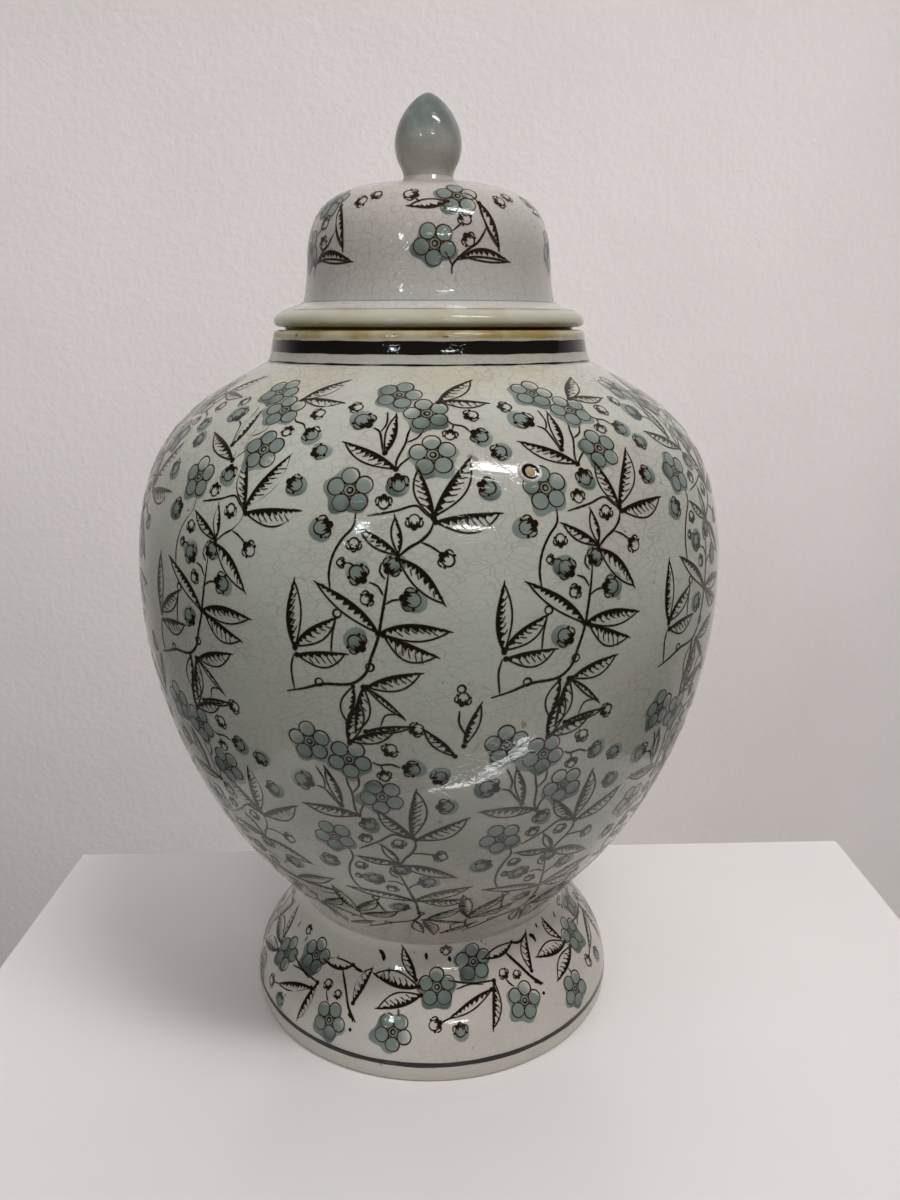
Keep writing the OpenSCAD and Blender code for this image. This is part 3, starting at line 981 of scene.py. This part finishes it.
def build_jar():
    """Every piece of the jar and its decoration."""
    low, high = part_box("finial")
    materials = {
        "body": body_glaze("white_glaze", BELLY_GLAZE),
        "foot": body_glaze("foot_glaze", FOOT_GLAZE),
        "neck": neck_glaze("rim_glaze"),
        "lid": lid_glaze("lid_glaze"),
        "celadon": celadon_glaze("celadon_glaze", low.z, high.z),
        "clay": bare_clay("bare_clay"),
        "ink": ink_glaze("band_ink", (0.010, 0.008, 0.006, 1)),
        "belly_ink": ink_glaze("belly_ink", (0.011, 0.008, 0.005, 1)),
        "foot_ink": ink_glaze("foot_ink", (0.013, 0.009, 0.006, 1)),
        "dome_ink": ink_glaze("dome_ink", (0.026, 0.016, 0.009, 1)),
        "halo": ink_glaze("sepia_edge", (0.165, 0.130, 0.095, 1)),
        "grey_line": ink_glaze("grey_line", (0.200, 0.235, 0.240, 1)),
        "pit": pit_clay("pit_clay"),
        "belly_wash": wash_glaze("belly_wash", BELLY_GLAZE),
        "foot_wash": wash_glaze("foot_wash", FOOT_GLAZE),
        "dome_wash": wash_glaze("dome_wash", DOME_GLAZE),
    }
    foot, belly, neck = build_vessel(materials)
    dome = build_lid(materials)
    belly_face = surface_from(belly, SHOULDER_TOP, WAIST, 104)
    foot_face = surface_from(foot, WAIST, FOOT_EDGE, 71)
    dome_face = surface_from(dome, CROWN, DOME_BASE, 42)
    printed("belly", belly_face, "jar", "body_glaze", decorate_belly, materials)
    printed("foot", foot_face, "jar", "body_glaze", decorate_foot, materials)
    printed("dome", dome_face, "lid", "lid_glaze", decorate_dome, materials)
    neck_face = surface_from(neck, RIM, SHOULDER_TOP, 56)
    brim_face = surface_from(dome, DOME_BASE, BRIM_EDGE, 50)
    lines("neck_bands", neck_face, [(4.3, 8.3), (11.3, 11.8)], 0.08, materials["ink"], "jar", "neck_glaze")
    lines("foot_band", foot_face, [(40.1, 41.9)], 0.07, materials["ink"], "jar", "body_glaze")
    grey_lines = [(0.0, 0.75), (7.0, 7.35)]
    lines("brim_line", brim_face, grey_lines, 0.05, materials["grey_line"], "lid", "lid_glaze")
    glaze_pit(belly_face, materials)


# ---------------------------------------------------------------- setting

def slab(name, corners, top, bottom, material):
    """A plain block for the stage."""
    verts = [(x, y, z) for z in (bottom, top) for x, y in corners]
    sides_of_block = [(i, (i + 1) % 4, 4 + (i + 1) % 4, 4 + i) for i in range(4)]
    faces = [(3, 2, 1, 0), (4, 5, 6, 7)] + sides_of_block
    mesh = bpy.data.meshes.new(name)
    mesh.from_pydata(verts, [], faces)
    mesh.materials.append(material)
    block = bpy.data.objects.new(name, mesh)
    bpy.context.scene.collection.objects.link(block)
    return block


def build_stage():
    """A satin white plinth, a pale wall behind it and the floor of the room."""
    floor_level = -0.9
    plinth = [(-0.186, -0.156), (0.213, -0.204), (0.209, 0.097), (-0.176, 0.091)]
    plinth_paint = painted("plinth_paint", (0.84, 0.802, 0.785, 1), 0.16, 0.00003)
    edge = slab("plinth", plinth, 0.0, floor_level, plinth_paint)
    soften = edge.modifiers.new("edge", "BEVEL")
    soften.width, soften.segments = 0.0015, 3
    wall = [(-3.0, 0.75), (3.0, 0.75), (3.0, 0.80), (-3.0, 0.80)]
    slab("wall", wall, 2.4, floor_level, painted("wall_paint", (0.70, 0.648, 0.635, 1), 0.6, 0.0016))
    floor = [(-3.0, -3.5), (3.0, -3.5), (3.0, 0.80), (-3.0, 0.80)]
    slab("room_floor", floor, -0.905, -0.95, painted("floor_paint", (0.24, 0.23, 0.22, 1), 0.5, 0.0002))


def panel(name, middle, size, aim, radiance, colour=(1, 1, 1), mirrored=True, spread=180, lit=1.0):
    """A rectangular soft light of the given brightness, facing aim, that shiny surfaces mirror or not.

    lit is its share in the light that reaches dull surfaces."""
    light = bpy.data.lights.new(name, "AREA")
    light.shape = "RECTANGLE"
    light.size, light.size_y = size
    light.energy = radiance * math.pi * size[0] * size[1]
    light.color = colour
    light.spread = math.radians(spread)
    light.diffuse_factor = lit
    lamp = bpy.data.objects.new(name, light)
    lamp.location = middle
    lamp.rotation_euler = (Vector(aim) - Vector(middle)).to_track_quat("-Z", "Y").to_euler()
    lamp.visible_glossy = mirrored
    lamp.visible_camera = False
    bpy.context.scene.collection.objects.link(lamp)


def build_lights():
    """Two ceiling panels, a cool window, a gleam on the floor, a key light and soft light from the room."""
    ceiling = 2.0
    panel("near_panel", (0.84, -0.86, ceiling), (0.81, 0.24), (0.84, -0.86, 0), 22)
    panel("far_panel", (1.04, -3.75, ceiling), (1.00, 0.28), (1.04, -3.75, 0), 20)
    panel("window", (-0.85, -1.75, 1.01), (0.12, 0.22), (0, 0, 0.2), 26, (0.80, 0.90, 1.0))
    panel("floor_gleam", (0.42, -0.80, -0.9), (0.90, 0.12), (0.66, 0.17, 0.3), 9, lit=0.0)
    panel("key", (0.80, -0.80, ceiling), (1.0, 0.6), (0.80, -0.80, 0), 8.2, mirrored=False)
    panel("room_left", (-1.1, -0.9, 1.0), (1.0, 1.0), (0, 0, 0.15), 1.7, mirrored=False)
    panel("glow", (0.35, 0.0, 2.3), (2.4, 1.6), (0.3, 0.0, 0), 1.10, mirrored=False)
    panel("wall_light", (-0.1, -1.7, 2.1), (2.0, 0.4), (-0.1, 0.75, 0.28), 1.15, mirrored=False, spread=30)
    panel("floor_bounce", (0.5, 0.35, -0.75), (2.0, 0.5), (0.5, 0.75, -0.1), 0.6, mirrored=False)
    world = bpy.data.worlds.new("room")
    world.use_nodes = True
    background = world.node_tree.nodes["Background"]
    background.inputs["Color"].default_value = (0.97, 0.95, 0.94, 1)
    background.inputs["Strength"].default_value = 0.03
    bpy.context.scene.world = world


def build_camera():
    """Eye a little above the rim, looking down at the jar from arm's length."""
    camera = bpy.data.cameras.new("camera")
    camera.sensor_width = 36
    camera.lens = 30
    camera.clip_start = 0.01
    eye = bpy.data.objects.new("camera", camera)
    eye.location = (0, -0.3643, 0.2566)
    eye.rotation_euler = (math.radians(90 - 15.39), 0, math.radians(-1.15))
    bpy.context.scene.collection.objects.link(eye)
    bpy.context.scene.camera = eye


build_jar()
build_stage()
build_lights()
build_camera()
bpy.context.scene.view_settings.view_transform = "Standard"
